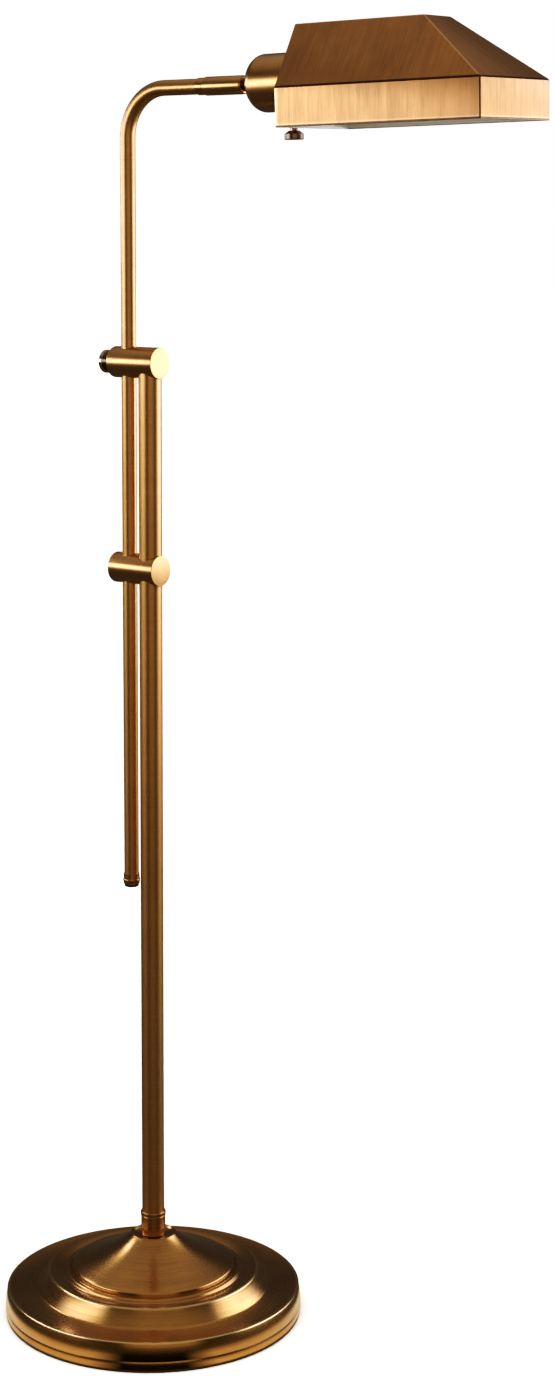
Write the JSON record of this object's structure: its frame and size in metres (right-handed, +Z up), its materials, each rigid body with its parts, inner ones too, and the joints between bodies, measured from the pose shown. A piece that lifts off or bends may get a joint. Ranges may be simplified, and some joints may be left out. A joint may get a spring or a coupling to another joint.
{
  "type": "pharmacy floor lamp",
  "caption": "Adjustable pharmacy floor lamp: round stepped base, pole with two cross barrels, sliding bent arm tube, ball swivel and a folded metal shade over a screw-base bulb.",
  "frame": {"origin": "centre of the round base's felt underside, on the floor", "axes": "+Z up along the main pole, +X from the pole toward the shade"},
  "size_m": [0.4928, 0.268, 1.1291],
  "materials": {
    "antique_brass": "brushed antique brass under clear lacquer",
    "plain_brass": "plain machined brass",
    "dark_bronze": "dark oiled bronze",
    "cast_iron": "raw casting",
    "zinc_steel": "zinc plated",
    "felt": "dense felt",
    "nylon": "moulded natural nylon",
    "phenolic": "moulded phenolic",
    "rubber": "moulded rubber",
    "opal_glass": "soft white frosted glass",
    "white_enamel": "white enamel inside the shade"
  },
  "bodies": {
    "stand": {"base_felt": "felt", "base_weight": "cast_iron", "base_shell": "antique_brass", "tie_nut": "zinc_steel", "tie_washer": "zinc_steel", "tie_tube": "zinc_steel", "pole_collar": "antique_brass", "pole_insert": "plain_brass", "main_pole": "antique_brass", "lower_barrel": "antique_brass", "upper_barrel": "antique_brass", "lower_grub_screw": "zinc_steel", "upper_grub_screw": "zinc_steel"},
    "bush": {"guide_bush": "nylon"},
    "arm": {"arm_tube": "antique_brass", "arm_ferrule": "antique_brass", "cord_gland": "rubber", "arm_ring": "antique_brass", "swivel_housing": "antique_brass", "swivel_spring": "zinc_steel", "swivel_seat": "nylon"},
    "ball": {"swivel_ball": "plain_brass"},
    "head": {"stem_nut": "antique_brass", "socket_cup": "antique_brass", "cup_nut": "zinc_steel", "socket_body": "phenolic", "socket_screw_shell": "plain_brass", "socket_contact": "plain_brass", "switch_bush": "plain_brass", "switch_nut": "dark_bronze", "bulb_base": "plain_brass", "bulb_glass": "opal_glass", "shade_shell": "antique_brass", "shade_rear_panel": "antique_brass", "shade_ring": "phenolic"},
    "switch": {"switch_shaft": "zinc_steel", "switch_knob": "dark_bronze"},
    "pad": {"clamp_pad": "nylon"},
    "clamp": {"clamp_screw": "zinc_steel", "clamp_knob": "dark_bronze"}
  },
  "joints": [
    {"name": "arm_swivel", "type": "hinge", "parent": "stand", "child": "bush", "pos_m": [-0.0234, 0, 0.6781], "axis": [0, 0, 1], "range_deg": [-180, 180]},
    {"name": "arm_height", "type": "slide", "parent": "bush", "child": "arm", "axis": [0, 0, 1], "range_m": [-0.16, 0.25]},
    {"name": "head_tilt", "type": "hinge", "parent": "arm", "child": "ball", "pos_m": [0.0976, 0, 1.0829], "axis": [0, 1, 0], "range_deg": [-20, 20]},
    {"name": "head_roll", "type": "hinge", "parent": "ball", "child": "head", "pos_m": [0.0976, 0, 1.0829], "axis": [0.9999, 0, 0.0136], "range_deg": [-90, 90]},
    {"name": "switch_turn", "type": "hinge", "parent": "head", "child": "switch", "pos_m": [0.15019, 0, 1.08362], "axis": [0.0136, 0.0232, -0.9996], "continuous": true},
    {"name": "clamp_feed", "type": "slide", "parent": "stand", "child": "pad", "axis": [-1, 0, 0], "range_m": [0, 0.0015]},
    {"name": "clamp_turn", "type": "hinge", "parent": "pad", "child": "clamp", "pos_m": [-0.045, 0, 0.8555], "axis": [-1, 0, 0], "range_deg": [0, 540]}
  ],
  "couplings": [
    {"joint": "clamp_turn", "follows": "clamp_feed", "rad_per_m": 6283.2}
  ]
}
